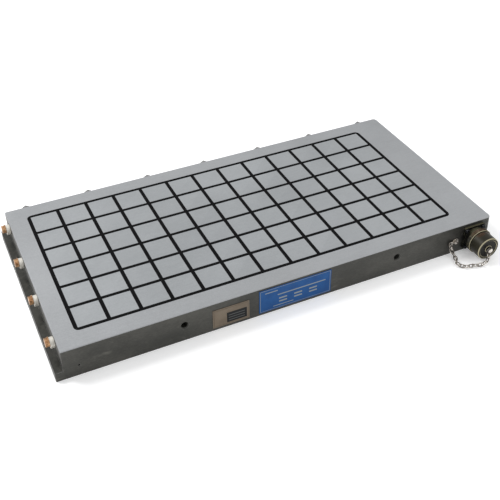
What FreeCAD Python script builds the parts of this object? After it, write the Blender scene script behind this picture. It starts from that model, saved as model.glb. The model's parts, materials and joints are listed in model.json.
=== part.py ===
import FreeCAD, Part
import math
import os

from FreeCAD import Vector

# Magnetic chuck: a one-piece steel housing with a pocket milled from above, filled with
# square poles, magnets and coils, and worked by pulses through a connector on its front.
# Millimetres. +X runs along the plate, +Y to the back, +Z up.
# Origin: the middle of the plate's underside.

# ---- Housing -------------------------------------------------------------------------
PLATE_LENGTH = 600.0
PLATE_WIDTH = 300.0
PLATE_HEIGHT = 43.0
RIGHT_CORNER_RADIUS = 6.0
EDGE_CHAMFER = 0.8
LEDGE_REACH = 10.0              # clamping ledge along the left end
LEDGE_HEIGHT = 13.0
YOKE_THICKNESS = 13.0           # steel left under the pocket

# ---- Pole field ----------------------------------------------------------------------
POLE_LENGTH = 35.2
POLE_WIDTH = 35.8
POLE_GAP = 5.0
POCKET_LEFT_MARGIN = 24.7
POCKET_FRONT_MARGIN = 26.4
LEAST_RIGHT_MARGIN = 47.5       # room for the connector beside the last poles
LEAST_BACK_MARGIN = 23.5        # room for the back bolts
POCKET_CORNER_RADIUS = 7.0
SEPARATOR_DEPTH = 4.0           # cast resin grid between the poles, flush with their tops

# ---- Magnets and coils ---------------------------------------------------------------
ALNICO_SIDE = 22.0
ALNICO_HEIGHT = 11.0
COIL_WALL = 6.0
COIL_CLEARANCE = 0.3            # coil to its core, and coil to the pole above
SIDE_MAGNET_WIDTH = 30.0
SIDE_MAGNET_CLEARANCE = 0.1     # each face of a side magnet to its pole

# ---- Work stops ----------------------------------------------------------------------
LEFT_STOP_COUNT = 4
BACK_BOLT_COUNT = 7
STOP_END_MARGIN = 30.0          # first and last bolt from the ends of their wall
STOP_AXIS_DEPTH = 6.5           # bolt axis below the working face
STOP_OFFSET = 2.5               # collar centre from the bolt axis
COLLAR_RADIUS = 7.0
COLLAR_LENGTH = 5.2
COLLAR_SIDE_GAP = 0.3
BOLT_RADIUS = 3.0
BOLT_ENGAGEMENT = 12.0
BOLT_RUNNING_CLEARANCE = 0.06
BOLT_SEAT_CLEARANCE = 0.05
BOLT_FLANGE_RADIUS = 6.0
BOLT_FLANGE_THICKNESS = 1.2
HEX_ACROSS_FLATS = 10.0
HEX_HEIGHT = 4.0

# ---- Tapped holes --------------------------------------------------------------------
LIFTING_HOLE_SPACING = 300.0
LIFTING_HOLE_DEPTH_BELOW_FACE = 19.3
LIFTING_HOLE_RADIUS = 4.25
LIFTING_HOLE_MOUTH_RADIUS = 5.5
LIFTING_HOLE_LENGTH = 20.0
EARTH_HOLE_FROM_LEFT = 19.0
EARTH_HOLE_HEIGHT = 15.5
EARTH_HOLE_RADIUS = 1.25
EARTH_HOLE_LENGTH = 8.0
TAP_END_CLEARANCE = 1.0         # tapped depth past the end of a screw

# ---- Connector -----------------------------------------------------------------------
CONNECTOR_FROM_RIGHT = 29.0
CONNECTOR_HEIGHT = 21.5
FLANGE_SIDE = 34.0
FLANGE_THICKNESS = 3.0
FLANGE_CORNER_RADIUS = 3.0
FLANGE_GASKET_THICKNESS = 1.0
BARREL_RADIUS = 14.2
BARREL_BORE_RADIUS = 12.2
BARREL_REACH = 26.2             # barrel's rim from the flange's front
BARREL_REAR_RADIUS = 13.2
BARREL_REAR_LENGTH = 15.0
CONNECTOR_SEAT_CLEARANCE = 0.3
CONNECTOR_BORE_DEPTH = 36.0
KEY_WIDTH = 3.0
KEY_HEIGHT = 1.2
INSERT_CLEARANCE = 0.1
INSERT_LENGTH = 26.0
PIN_COUNT = 4
PIN_RADIUS = 1.75
PIN_LENGTH = 10.0
PIN_CIRCLE_RADIUS = 6.0
WIRE_DUCT_RADIUS = 4.0
WIRE_DUCT_FROM_FRONT = 33.0
LEAD_RADIUS = 1.2
LEAD_SPACING = 3.6
LEAD_RUN = 30.0                 # along the border gap, from the duct

# ---- Dust cap ------------------------------------------------------------------------
CAP_RADIUS = 16.5
CAP_RIM_RADIUS = 18.0           # knurled band round the cap's mouth
CAP_RIM_LENGTH = 6.5
CAP_LENGTH = 24.5
CAP_FACE_THICKNESS = 3.5
CAP_THREAD_CLEARANCE = 0.08
CAP_EDGE_CHAMFER = 1.0
CAP_GASKET_THICKNESS = 2.0
CAP_GASKET_CLEARANCE = 0.2
CAP_REST_GAP = 0.3              # gasket to the barrel's rim
SWIVEL_SHANK_RADIUS = 1.0
SWIVEL_CLEARANCE = 0.06
SWIVEL_NECK = 3.0
SWIVEL_KNOB_RADIUS = 3.45
SWIVEL_KNOB_THICKNESS = 1.4
SWIVEL_TAIL_RADIUS = 3.2
SWIVEL_TAIL_THICKNESS = 1.2
SWIVEL_TAIL_GAP = 0.3

# ---- Chain ---------------------------------------------------------------------------
CHAIN_WIRE_RADIUS = 0.75
LINK_LENGTH = 10.2
LINK_WIDTH = 6.0
LINK_PITCH = 6.6
LINK_REST_CLEARANCE = 0.15
END_RING_RADIUS = 3.9           # to the middle of its wire
END_RING_WIRE_RADIUS = 0.5      # leaves a hole smaller than the swivel's knob
END_RING_TILT = 12.0
LUG_THICKNESS = 1.0
LUG_WIDTH = 6.0
LUG_EYE_RADIUS = 4.5
LUG_STEP = 2.2                  # how far the lug's tab stands off the wall
LUG_BEND = 45.0
LUG_LINK_HOLE_RADIUS = 1.75
LUG_LINK_HOLE_REACH = 9.5       # from the screw to the link hole
LUG_TAB_END = 3.0               # from the link hole to the tab's end
LUG_SCREW_FROM_CONNECTOR = 27.5
LUG_SCREW_HEIGHT = 19.3
LUG_SCREW_RADIUS = 1.95
LUG_SCREW_LENGTH = 9.0
LUG_SCREW_HEAD_RADIUS = 3.1
LUG_SCREW_HEAD_HEIGHT = 2.2
LUG_SCREW_CLEARANCE = 0.1

# ---- Plates on the front -------------------------------------------------------------
NAMEPLATE_LENGTH = 101.5
NAMEPLATE_HEIGHT = 35.5
NAMEPLATE_CENTRE_X = -0.7
NOTICE_PLATE_LENGTH = 49.0
NOTICE_PLATE_HEIGHT = 28.0
NOTICE_PLATE_CENTRE_X = -89.5
NOTICE_PLATE_CENTRE_Z = 18.0
LABEL_THICKNESS = 0.6

# ---- Places worked out from the sizes above ------------------------------------------
LEFT = -PLATE_LENGTH / 2
RIGHT = PLATE_LENGTH / 2
FRONT = -PLATE_WIDTH / 2
BACK = PLATE_WIDTH / 2
TOP = PLATE_HEIGHT
POLE_PITCH_X = POLE_LENGTH + POLE_GAP
POLE_PITCH_Y = POLE_WIDTH + POLE_GAP
POLE_COLUMNS = int((PLATE_LENGTH - POCKET_LEFT_MARGIN - LEAST_RIGHT_MARGIN - POLE_GAP) // POLE_PITCH_X)
POLE_ROWS = int((PLATE_WIDTH - POCKET_FRONT_MARGIN - LEAST_BACK_MARGIN - POLE_GAP) // POLE_PITCH_Y)
POCKET_LENGTH = POLE_COLUMNS * POLE_PITCH_X + POLE_GAP
POCKET_WIDTH = POLE_ROWS * POLE_PITCH_Y + POLE_GAP
POCKET_LEFT = LEFT + POCKET_LEFT_MARGIN
POCKET_FRONT = FRONT + POCKET_FRONT_MARGIN
POCKET_RIGHT = POCKET_LEFT + POCKET_LENGTH
ALNICO_TOP = YOKE_THICKNESS + ALNICO_HEIGHT
SEPARATOR_BOTTOM = TOP - SEPARATOR_DEPTH
CONNECTOR_X = RIGHT - CONNECTOR_FROM_RIGHT
FLANGE_FRONT = FRONT - FLANGE_GASKET_THICKNESS - FLANGE_THICKNESS
BARREL_RIM = FLANGE_FRONT - BARREL_REACH
CAP_FLOOR = BARREL_RIM - CAP_REST_GAP - CAP_GASKET_THICKNESS
CAP_FACE = CAP_FLOOR - CAP_FACE_THICKNESS
CAP_MOUTH = CAP_FACE + CAP_LENGTH
SWIVEL_KNOB = CAP_FACE - SWIVEL_NECK
INSERT_BACK = FRONT + BARREL_REAR_LENGTH - CONNECTOR_SEAT_CLEARANCE
INSERT_FACE = INSERT_BACK - INSERT_LENGTH
LUG_X = CONNECTOR_X - LUG_SCREW_FROM_CONNECTOR

X_AXIS = Vector(1, 0, 0)
Y_AXIS = Vector(0, 1, 0)
Z_AXIS = Vector(0, 0, 1)
OUT_FRONT = Vector(0, -1, 0)
OUT_LEFT = Vector(-1, 0, 0)
OUT_BACK = Vector(0, 1, 0)


# ---- Helpers -------------------------------------------------------------------------
def block(low, high):
    """Box between two corners."""
    size = high - low
    return Part.makeBox(size.x, size.y, size.z, low)


def rod(radius, start, axis, length):
    return Part.makeCylinder(radius, length, start, axis)


def ring(outer_radius, inner_radius, start, axis, length):
    outer = rod(outer_radius, start, axis, length)
    return outer.cut(rod(inner_radius, start, axis, length))


def rounded_block(low, high, radius):
    """Box whose four upright edges are rounded."""
    solid = block(low, high)
    upright = [e for e in solid.Edges if abs(e.tangentAt(e.FirstParameter).z) > 0.999]
    return solid.makeFillet(radius, upright)


def wire_tube(points, normal, radius, closed):
    """Six-sided tube along a flat path of straight runs, mitred at each corner."""
    sides = 6
    count = len(points)
    sections = []
    for i, point in enumerate(points):
        into = point - points[i - 1]
        out = points[(i + 1) % count] - point
        if not closed and i == 0:
            into = out
        if not closed and i == count - 1:
            out = into
        into, out = Vector(into).normalize(), Vector(out).normalize()
        mitre = (into + out).normalize()
        side = into.cross(normal).normalize()
        section = []
        for k in range(sides):
            angle = 2 * math.pi * k / sides
            offset = side * (radius * math.cos(angle)) + normal * (radius * math.sin(angle))
            section.append(point + offset - into * (offset.dot(mitre) / into.dot(mitre)))
        sections.append(section)
    faces = []
    for i in range(count if closed else count - 1):
        near, far = sections[i], sections[(i + 1) % count]
        for k in range(sides):
            after = (k + 1) % sides
            corners = [near[k], near[after], far[after], far[k], near[k]]
            faces.append(Part.Face(Part.makePolygon(corners)))
    if not closed:
        for section in (sections[0], sections[-1]):
            faces.append(Part.Face(Part.makePolygon(section + section[:1])))
    solid = Part.Solid(Part.Shell(faces))
    if solid.Volume < 0:
        solid.reverse()
    return solid


# ---- Places of what repeats ----------------------------------------------------------
def pole_corner(column, row):
    """Low corner of a pole's footprint."""
    x = POCKET_LEFT + POLE_GAP + column * POLE_PITCH_X
    y = POCKET_FRONT + POLE_GAP + row * POLE_PITCH_Y
    return x, y


def pole_centre(column, row):
    x, y = pole_corner(column, row)
    return x + POLE_LENGTH / 2, y + POLE_WIDTH / 2


def is_switched(column, row):
    """Every other pole stands on a reversible magnet, the rest stand on the yoke."""
    return (column + row) % 2 == 0


def switched_poles():
    cells = [(c, r) for r in range(POLE_ROWS) for c in range(POLE_COLUMNS)]
    return [cell for cell in cells if is_switched(*cell)]


def centred_steps(count, pitch):
    return [(i - (count - 1) / 2) * pitch for i in range(count)]


def left_stop_seats():
    """Where the bolt axis of each left stop meets the wall."""
    pitch = (PLATE_WIDTH - 2 * STOP_END_MARGIN) / (LEFT_STOP_COUNT - 1)
    z = TOP - STOP_AXIS_DEPTH
    return [Vector(LEFT, y, z) for y in centred_steps(LEFT_STOP_COUNT, pitch)]


def back_bolt_seats():
    pitch = (PLATE_LENGTH - 2 * STOP_END_MARGIN) / (BACK_BOLT_COUNT - 1)
    z = TOP - STOP_AXIS_DEPTH
    return [Vector(x, BACK, z) for x in centred_steps(BACK_BOLT_COUNT, pitch)]


# ---- Housing -------------------------------------------------------------------------
def plate_blank():
    plate = block(Vector(LEFT, FRONT, 0), Vector(RIGHT, BACK, TOP))
    ledge = block(Vector(LEFT - LEDGE_REACH, FRONT, 0), Vector(LEFT, BACK, LEDGE_HEIGHT))
    blank = plate.fuse(ledge).removeSplitter()
    right_edges = [
        e for e in blank.Edges
        if abs(e.CenterOfMass.x - RIGHT) < 0.01 and abs(e.tangentAt(e.FirstParameter).z) > 0.999
    ]
    blank = blank.makeFillet(RIGHT_CORNER_RADIUS, right_edges)
    top_edges = [e for e in blank.Edges if abs(e.BoundBox.ZMin - TOP) < 0.001]
    return blank.makeChamfer(EDGE_CHAMFER, top_edges)


def pocket():
    low = Vector(POCKET_LEFT, POCKET_FRONT, YOKE_THICKNESS)
    high = Vector(POCKET_RIGHT, POCKET_FRONT + POCKET_WIDTH, TOP)
    return rounded_block(low, high, POCKET_CORNER_RADIUS)


def lifting_hole(x):
    mouth = Vector(x, FRONT, TOP - LIFTING_HOLE_DEPTH_BELOW_FACE)
    chamfer = LIFTING_HOLE_MOUTH_RADIUS - LIFTING_HOLE_RADIUS
    drilled = rod(LIFTING_HOLE_RADIUS, mouth, Y_AXIS, LIFTING_HOLE_LENGTH)
    lead_in = Part.makeCone(
        LIFTING_HOLE_MOUTH_RADIUS, LIFTING_HOLE_RADIUS, chamfer, mouth, Y_AXIS
    )
    return drilled.fuse(lead_in)


def stop_holes():
    radius = BOLT_RADIUS + BOLT_SEAT_CLEARANCE
    depth = BOLT_ENGAGEMENT + TAP_END_CLEARANCE
    holes = [rod(radius, seat, X_AXIS, depth) for seat in left_stop_seats()]
    return holes + [rod(radius, seat, OUT_FRONT, depth) for seat in back_bolt_seats()]


def connector_cavity():
    """Bore behind the connector and the duct that leads from it into the pocket."""
    radius = BARREL_REAR_RADIUS + CONNECTOR_SEAT_CLEARANCE
    mouth = Vector(CONNECTOR_X, FRONT, CONNECTOR_HEIGHT)
    bore = rod(radius, mouth, Y_AXIS, CONNECTOR_BORE_DEPTH)
    duct_y = FRONT + WIRE_DUCT_FROM_FRONT
    start = Vector(POCKET_RIGHT - POLE_GAP / 2, duct_y, CONNECTOR_HEIGHT)
    duct = rod(WIRE_DUCT_RADIUS, start, X_AXIS, CONNECTOR_X - start.x)
    return bore.fuse(duct)


def housing():
    solid = plate_blank().cut(pocket())
    holes = stop_holes() + [connector_cavity()]
    holes += [lifting_hole(x) for x in centred_steps(2, LIFTING_HOLE_SPACING)]
    earth = Vector(LEFT + EARTH_HOLE_FROM_LEFT, FRONT, EARTH_HOLE_HEIGHT)
    holes.append(rod(EARTH_HOLE_RADIUS, earth, Y_AXIS, EARTH_HOLE_LENGTH))
    screw = Vector(LUG_X, FRONT, LUG_SCREW_HEIGHT)
    screw_radius = LUG_SCREW_RADIUS + LUG_SCREW_CLEARANCE
    screw_depth = LUG_SCREW_LENGTH - LUG_THICKNESS + TAP_END_CLEARANCE
    holes.append(rod(screw_radius, screw, Y_AXIS, screw_depth))
    for hole in holes:
        solid = solid.cut(hole)
    return solid


# ---- Pole field ----------------------------------------------------------------------
def pole_row(row):
    poles = []
    for column in range(POLE_COLUMNS):
        x, y = pole_corner(column, row)
        foot = ALNICO_TOP if is_switched(column, row) else YOKE_THICKNESS
        poles.append(block(Vector(x, y, foot), Vector(x + POLE_LENGTH, y + POLE_WIDTH, TOP)))
    return Part.makeCompound(poles)


def pole_separator():
    low = Vector(POCKET_LEFT, POCKET_FRONT, SEPARATOR_BOTTOM)
    high = Vector(POCKET_RIGHT, POCKET_FRONT + POCKET_WIDTH, TOP)
    sheet = rounded_block(low, high, POCKET_CORNER_RADIUS)
    windows = []
    for row in range(POLE_ROWS):
        for column in range(POLE_COLUMNS):
            x, y = pole_corner(column, row)
            low = Vector(x, y, SEPARATOR_BOTTOM)
            windows.append(block(low, Vector(x + POLE_LENGTH, y + POLE_WIDTH, TOP)))
    return sheet.cut(Part.makeCompound(windows))


def reversible_magnets():
    half = ALNICO_SIDE / 2
    magnets = []
    for cell in switched_poles():
        x, y = pole_centre(*cell)
        low = Vector(x - half, y - half, YOKE_THICKNESS)
        magnets.append(block(low, Vector(x + half, y + half, ALNICO_TOP)))
    return Part.makeCompound(magnets)


def coils():
    inner = ALNICO_SIDE / 2 + COIL_CLEARANCE
    outer = inner + COIL_WALL
    top = ALNICO_TOP - COIL_CLEARANCE
    wound = []
    for cell in switched_poles():
        x, y = pole_centre(*cell)
        body = block(Vector(x - outer, y - outer, YOKE_THICKNESS), Vector(x + outer, y + outer, top))
        core = block(Vector(x - inner, y - inner, YOKE_THICKNESS), Vector(x + inner, y + inner, top))
        wound.append(body.cut(core))
    return Part.makeCompound(wound)


def side_magnet(centre_x, centre_y, length, width):
    low = Vector(centre_x - length / 2, centre_y - width / 2, ALNICO_TOP)
    high = Vector(centre_x + length / 2, centre_y + width / 2, SEPARATOR_BOTTOM)
    return block(low, high)


def side_magnets_across():
    """Magnets between neighbours in one row."""
    thickness = POLE_GAP - 2 * SIDE_MAGNET_CLEARANCE
    magnets = []
    for row in range(POLE_ROWS):
        for column in range(POLE_COLUMNS - 1):
            x, y = pole_centre(column, row)
            magnets.append(side_magnet(x + POLE_PITCH_X / 2, y, thickness, SIDE_MAGNET_WIDTH))
    return Part.makeCompound(magnets)


def side_magnets_along():
    """Magnets between one row and the next."""
    thickness = POLE_GAP - 2 * SIDE_MAGNET_CLEARANCE
    magnets = []
    for row in range(POLE_ROWS - 1):
        for column in range(POLE_COLUMNS):
            x, y = pole_centre(column, row)
            magnets.append(side_magnet(x, y + POLE_PITCH_Y / 2, SIDE_MAGNET_WIDTH, thickness))
    return Part.makeCompound(magnets)


# ---- Work stops ----------------------------------------------------------------------
COLLAR_ROOM = 2 * COLLAR_SIDE_GAP + COLLAR_LENGTH


def stop_collar(seat, out):
    """Eccentric collar: turning it about its bolt lifts it past the working face."""
    start = seat + out * COLLAR_SIDE_GAP
    body = rod(COLLAR_RADIUS, start + Z_AXIS * -STOP_OFFSET, out, COLLAR_LENGTH)
    bore = rod(BOLT_RADIUS + BOLT_RUNNING_CLEARANCE, start, out, COLLAR_LENGTH)
    return body.cut(bore)


def hex_head(centre, out):
    """Hexagonal prism with one corner pointing up."""
    corner = HEX_ACROSS_FLATS / math.sqrt(3)
    across = out.cross(Z_AXIS)
    points = []
    for k in range(7):
        angle = math.radians(60 * k)
        points.append(centre + Z_AXIS * (corner * math.cos(angle)) + across * (corner * math.sin(angle)))
    return Part.Face(Part.makePolygon(points)).extrude(out * HEX_HEIGHT)


def flanged_bolt(seat, out, stand_off):
    """Hexagon bolt whose flange stands off the wall, by nothing or by the room for a collar."""
    shank = rod(BOLT_RADIUS, seat - out * BOLT_ENGAGEMENT, out, BOLT_ENGAGEMENT + stand_off)
    flange = rod(BOLT_FLANGE_RADIUS, seat + out * stand_off, out, BOLT_FLANGE_THICKNESS)
    return shank.fuse([flange, hex_head(seat + out * (stand_off + BOLT_FLANGE_THICKNESS), out)])


# ---- Connector -----------------------------------------------------------------------
def on_connector(y):
    return Vector(CONNECTOR_X, y, CONNECTOR_HEIGHT)


def square_plate(front, thickness):
    """Flange-sized plate with rounded corners; its front is at y = front."""
    low = Vector(CONNECTOR_X - FLANGE_SIDE / 2, front, CONNECTOR_HEIGHT - FLANGE_SIDE / 2)
    solid = Part.makeBox(FLANGE_SIDE, thickness, FLANGE_SIDE, low)
    corners = [e for e in solid.Edges if abs(e.tangentAt(e.FirstParameter).y) > 0.999]
    return solid.makeFillet(FLANGE_CORNER_RADIUS, corners)


def connector_gasket():
    plate = square_plate(FRONT - FLANGE_GASKET_THICKNESS, FLANGE_GASKET_THICKNESS)
    radius = BARREL_REAR_RADIUS + CONNECTOR_SEAT_CLEARANCE
    return plate.cut(rod(radius, on_connector(FRONT), OUT_FRONT, FLANGE_GASKET_THICKNESS))


def connector_shell():
    flange = square_plate(FLANGE_FRONT, FLANGE_THICKNESS)
    barrel = rod(BARREL_RADIUS, on_connector(FLANGE_FRONT), OUT_FRONT, BARREL_REACH)
    rear_end = FRONT + BARREL_REAR_LENGTH
    rear = rod(BARREL_REAR_RADIUS, on_connector(rear_end), OUT_FRONT, rear_end - FLANGE_FRONT)
    bore = rod(BARREL_BORE_RADIUS, on_connector(rear_end), OUT_FRONT, rear_end - BARREL_RIM)
    shell = flange.fuse([barrel, rear]).cut(bore)
    key_top = CONNECTOR_HEIGHT + BARREL_BORE_RADIUS + (BARREL_RADIUS - BARREL_BORE_RADIUS) / 2
    key_bottom = CONNECTOR_HEIGHT + BARREL_BORE_RADIUS - KEY_HEIGHT
    low = Vector(CONNECTOR_X - KEY_WIDTH / 2, BARREL_RIM, key_bottom)
    high = Vector(CONNECTOR_X + KEY_WIDTH / 2, INSERT_FACE, key_top)
    return shell.fuse(block(low, high)).removeSplitter()


def connector_insert():
    radius = BARREL_BORE_RADIUS - INSERT_CLEARANCE
    return rod(radius, on_connector(INSERT_BACK), OUT_FRONT, INSERT_LENGTH)


def connector_pins():
    pins = []
    for k in range(PIN_COUNT):
        angle = 2 * math.pi * (k + 0.5) / PIN_COUNT
        offset = Vector(math.cos(angle), 0, math.sin(angle)) * PIN_CIRCLE_RADIUS
        pins.append(rod(PIN_RADIUS, on_connector(INSERT_FACE) + offset, OUT_FRONT, PIN_LENGTH))
    return Part.makeCompound(pins)


def connector_leads():
    """Two leads from the insert, through the duct, into the gap beside the last poles."""
    duct_y = FRONT + WIRE_DUCT_FROM_FRONT
    gap_x = POCKET_RIGHT - POLE_GAP / 2
    leads = []
    for step in centred_steps(2, LEAD_SPACING):
        z = CONNECTOR_HEIGHT + step
        path = [
            Vector(CONNECTOR_X, INSERT_BACK, z),
            Vector(CONNECTOR_X, duct_y, z),
            Vector(gap_x, duct_y, z),
            Vector(gap_x, duct_y + LEAD_RUN, z),
        ]
        leads.append(wire_tube(path, Z_AXIS, LEAD_RADIUS, False))
    return Part.makeCompound(leads)


# ---- Dust cap ------------------------------------------------------------------------
def dust_cap():
    body = rod(CAP_RADIUS, on_connector(CAP_MOUTH), OUT_FRONT, CAP_LENGTH)
    front_edge = [e for e in body.Edges if abs(e.CenterOfMass.y - CAP_FACE) < 0.01 and e.Closed]
    body = body.makeChamfer(CAP_EDGE_CHAMFER, front_edge)
    rim = rod(CAP_RIM_RADIUS, on_connector(CAP_MOUTH), OUT_FRONT, CAP_RIM_LENGTH)
    bore_radius = BARREL_RADIUS + CAP_THREAD_CLEARANCE
    bore = rod(bore_radius, on_connector(CAP_MOUTH), OUT_FRONT, CAP_MOUTH - CAP_FLOOR)
    hole = rod(SWIVEL_SHANK_RADIUS + SWIVEL_CLEARANCE, on_connector(CAP_FLOOR), OUT_FRONT,
               CAP_FACE_THICKNESS)
    return body.fuse(rim).cut(bore).cut(hole)


def cap_gasket():
    outer = BARREL_RADIUS + CAP_THREAD_CLEARANCE - CAP_GASKET_CLEARANCE
    inner = SWIVEL_TAIL_RADIUS + SWIVEL_TAIL_GAP
    start = on_connector(CAP_FLOOR + CAP_GASKET_THICKNESS)
    return ring(outer, inner, start, OUT_FRONT, CAP_GASKET_THICKNESS)


def cap_swivel_stud():
    tail_end = CAP_FLOOR + SWIVEL_TAIL_GAP + SWIVEL_TAIL_THICKNESS
    tail = rod(SWIVEL_TAIL_RADIUS, on_connector(tail_end), OUT_FRONT, SWIVEL_TAIL_THICKNESS)
    shank = rod(SWIVEL_SHANK_RADIUS, on_connector(tail_end), OUT_FRONT, tail_end - SWIVEL_KNOB)
    knob = rod(SWIVEL_KNOB_RADIUS, on_connector(SWIVEL_KNOB), OUT_FRONT, SWIVEL_KNOB_THICKNESS)
    return shank.fuse([tail, knob]).removeSplitter()


# ---- Chain ---------------------------------------------------------------------------
WIRE = 2 * CHAIN_WIRE_RADIUS
LINK_REACH = (LINK_LENGTH - WIRE) / 2     # link centre to the middle of its end wire
TAB_MIDDLE = FRONT - LUG_STEP - LUG_THICKNESS / 2
LINK_HOLE_X = LUG_X - LUG_LINK_HOLE_REACH


def end_ring_frame():
    """Centre of the ring hung on the swivel's neck, and the direction down across it."""
    tilt = math.radians(END_RING_TILT)
    down = Vector(0, -math.sin(tilt), -math.cos(tilt))
    drop = END_RING_RADIUS - END_RING_WIRE_RADIUS - SWIVEL_SHANK_RADIUS - LINK_REST_CLEARANCE
    neck = CAP_FACE - SWIVEL_NECK / 2
    centre = Vector(CONNECTOR_X, neck - drop * math.sin(tilt), CONNECTOR_HEIGHT - drop)
    return centre, down


def chain_start():
    """Middle of the first link's wire where it hangs in the lug's hole."""
    drop = LUG_LINK_HOLE_RADIUS - CHAIN_WIRE_RADIUS - LINK_REST_CLEARANCE
    return Vector(LINK_HOLE_X, TAB_MIDDLE, LUG_SCREW_HEIGHT - drop)


def chain_end():
    """Middle of the last link's wire where it passes through the end ring."""
    centre, down = end_ring_frame()
    wires = END_RING_WIRE_RADIUS + CHAIN_WIRE_RADIUS
    return centre + down * (END_RING_RADIUS - wires - LINK_REST_CLEARANCE)


# How the chain lies between its two ends: along, out from the wall, and up, chosen by hand.
# It drops from the lug, swings out over the surface in front, and climbs to the cap.
CHAIN_LIE = [
    (-36.2, -4.6, 10.0),
    (-34.2, -8.4, 4.9),
    (-34.8, -15.0, 3.4),
    (-39.0, -21.5, 3.3),
    (-40.5, -29.0, 3.3),
    (-35.0, -35.5, 3.3),
    (-25.5, -37.5, 3.3),
    (-15.5, -41.0, 3.5),
    (-6.5, -42.6, 5.0),
    (-1.3, -40.3, 9.4),
]


def chain_curve():
    lie = [Vector(CONNECTOR_X + x, FRONT + y, z) for x, y, z in CHAIN_LIE]
    curve = Part.BSplineCurve()
    curve.interpolate([chain_start()] + lie + [chain_end()])
    return curve


def link_solid(near, far, side):
    """Oval link whose end wires' middles are at near and far."""
    along = (far - near).normalize()
    across = (side - along * side.dot(along)).normalize()
    centre = (near + far) * 0.5
    half_width = (LINK_WIDTH - WIRE) / 2
    half_straight = LINK_REACH - half_width
    half_flat = half_width * math.tan(math.radians(30))
    points = []
    for end in (1, -1):
        for reach, offset in (
            (half_straight, -half_width), (LINK_REACH, -half_flat),
            (LINK_REACH, half_flat), (half_straight, half_width),
        ):
            points.append(centre + along * (end * reach) + across * (end * offset))
    return wire_tube(points, along.cross(across), CHAIN_WIRE_RADIUS, True)


def carried(side, old_along, new_along):
    """The side direction carried from one link's run to the next without twist."""
    turn = FreeCAD.Rotation(old_along, new_along)
    return turn.multVec(side)


def cap_chain():
    curve = chain_curve()
    length = curve.length()
    gaps = round((length - 2 * LINK_REACH) / LINK_PITCH)
    pitch = (length - 2 * LINK_REACH) / gaps
    ends = []
    for i in range(gaps + 1):
        middle = LINK_REACH + i * pitch
        near = curve.value(curve.parameterAtDistance(middle - LINK_REACH))
        far = curve.value(curve.parameterAtDistance(middle + LINK_REACH))
        ends.append((near, far))
    runs = [(far - near).normalize() for near, far in ends]
    sides = [Y_AXIS]
    for i in range(1, len(runs)):
        sides.append(carried(sides[-1], runs[i - 1], runs[i]))
    # The last link lies across the end ring, so the leftover twist is shared by all links.
    last_turn = math.degrees(sides[-1].getAngle(Y_AXIS - runs[-1] * Y_AXIS.dot(runs[-1])))
    if sides[-1].cross(Y_AXIS).dot(runs[-1]) < 0:
        last_turn = -last_turn
    leftover = (last_turn - 90 * gaps + 90) % 180 - 90
    links = []
    for i, (near, far) in enumerate(ends):
        roll = FreeCAD.Rotation(runs[i], 90 * i + leftover * i / gaps)
        links.append(link_solid(near, far, roll.multVec(sides[i])))
    return Part.makeCompound(links)


def chain_end_ring():
    centre, down = end_ring_frame()
    steps = 12
    corner = END_RING_RADIUS / math.cos(math.pi / steps)
    points = []
    for k in range(steps):
        angle = 2 * math.pi * (k + 0.5) / steps
        points.append(centre + X_AXIS * (corner * math.cos(angle)) + down * (corner * math.sin(angle)))
    return wire_tube(points, X_AXIS.cross(down), END_RING_WIRE_RADIUS, True)


def chain_lug():
    """Strip lug under the wall screw, stepped off the wall so that a link hooks through it."""
    step_start = LUG_X - LUG_EYE_RADIUS
    step_end = step_start - LUG_STEP / math.tan(math.radians(LUG_BEND))
    tab_end = LINK_HOLE_X - LUG_TAB_END
    slant = LUG_THICKNESS * math.tan(math.radians(LUG_BEND / 2))
    low = LUG_SCREW_HEIGHT - LUG_WIDTH / 2
    outline = [
        (LUG_X, 0), (step_start, 0), (step_end, LUG_STEP), (tab_end, LUG_STEP),
        (tab_end, LUG_STEP + LUG_THICKNESS), (step_end + slant, LUG_STEP + LUG_THICKNESS),
        (step_start + slant, LUG_THICKNESS), (LUG_X, LUG_THICKNESS),
    ]
    points = [Vector(x, FRONT - out, low) for x, out in outline]
    strip = Part.Face(Part.makePolygon(points + points[:1])).extrude(Z_AXIS * LUG_WIDTH)
    centre = Vector(LUG_X, FRONT, LUG_SCREW_HEIGHT)
    eye = rod(LUG_EYE_RADIUS, centre, OUT_FRONT, LUG_THICKNESS)
    screw_hole = rod(LUG_SCREW_RADIUS + LUG_SCREW_CLEARANCE, centre, OUT_FRONT, LUG_THICKNESS)
    link_start = Vector(LINK_HOLE_X, FRONT - LUG_STEP, LUG_SCREW_HEIGHT)
    link_hole = rod(LUG_LINK_HOLE_RADIUS, link_start, OUT_FRONT, LUG_THICKNESS)
    return strip.fuse(eye).cut(screw_hole).cut(link_hole).removeSplitter()


def chain_screw():
    seat = Vector(LUG_X, FRONT - LUG_THICKNESS, LUG_SCREW_HEIGHT)
    head = rod(LUG_SCREW_HEAD_RADIUS, seat, OUT_FRONT, LUG_SCREW_HEAD_HEIGHT)
    return rod(LUG_SCREW_RADIUS, seat, Y_AXIS, LUG_SCREW_LENGTH).fuse(head)


# ---- Plates on the front -------------------------------------------------------------
def front_label(centre_x, centre_z, length, height):
    low = Vector(centre_x - length / 2, FRONT - LABEL_THICKNESS, centre_z - height / 2)
    return Part.makeBox(length, LABEL_THICKNESS, height, low)


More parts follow.
